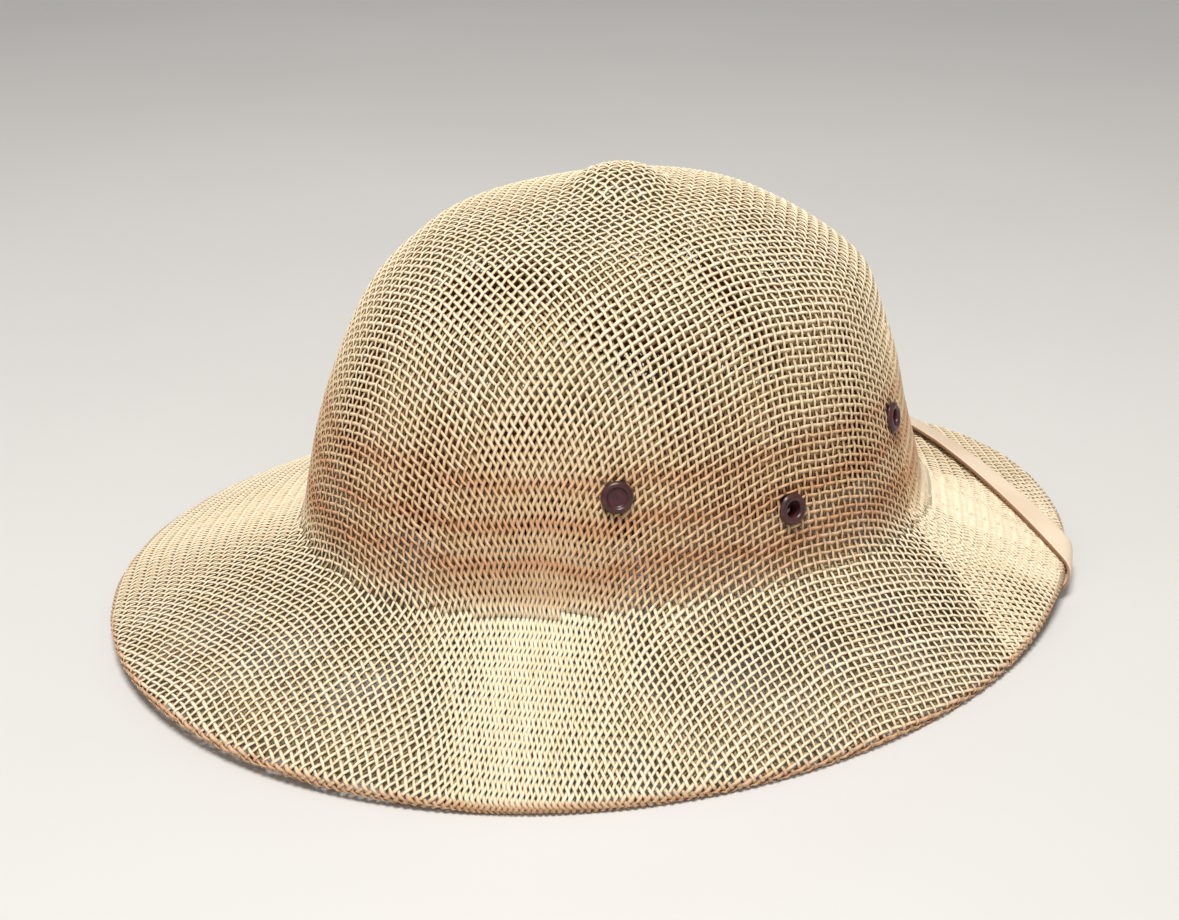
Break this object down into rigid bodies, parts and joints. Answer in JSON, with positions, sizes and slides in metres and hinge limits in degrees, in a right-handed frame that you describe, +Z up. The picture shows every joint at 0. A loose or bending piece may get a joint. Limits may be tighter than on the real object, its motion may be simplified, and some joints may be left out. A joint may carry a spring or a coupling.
{
  "type": "pith helmet",
  "caption": "Woven paper straw sun helmet with a domed crown, round top knob, sloping oval brim, brown headband, rivets, vent eyelets and a strap over the front brim.",
  "frame": {"origin": "middle of the helmet's bounding box in plan, on the ground plane that the rim rests on", "axes": "+Z up, -Y towards the front of the helmet, +X towards the wearer's left"},
  "size_m": [0.2746, 0.335, 0.1439],
  "materials": {
    "straw_mesh": "open plain weave of pale twisted paper straw, matt with a faint sheen",
    "headband_vinyl": "dark red-brown grained vinyl, semi-matt",
    "strap_leather": "pale beige smooth leather-cloth, satin, with darker cut edges",
    "fastener_plastic": "dark maroon-brown moulded plastic, lightly glossy"
  },
  "bodies": {
    "root": {"mesh_shell": "straw_mesh", "headband": "headband_vinyl", "chin_strap": "strap_leather", "rivet_left": "fastener_plastic", "rivet_right": "fastener_plastic", "vent_eyelet_front_left": "fastener_plastic", "vent_eyelet_front_right": "fastener_plastic", "vent_eyelet_side_left": "fastener_plastic", "vent_eyelet_side_right": "fastener_plastic"}
  },
  "joints": []
}
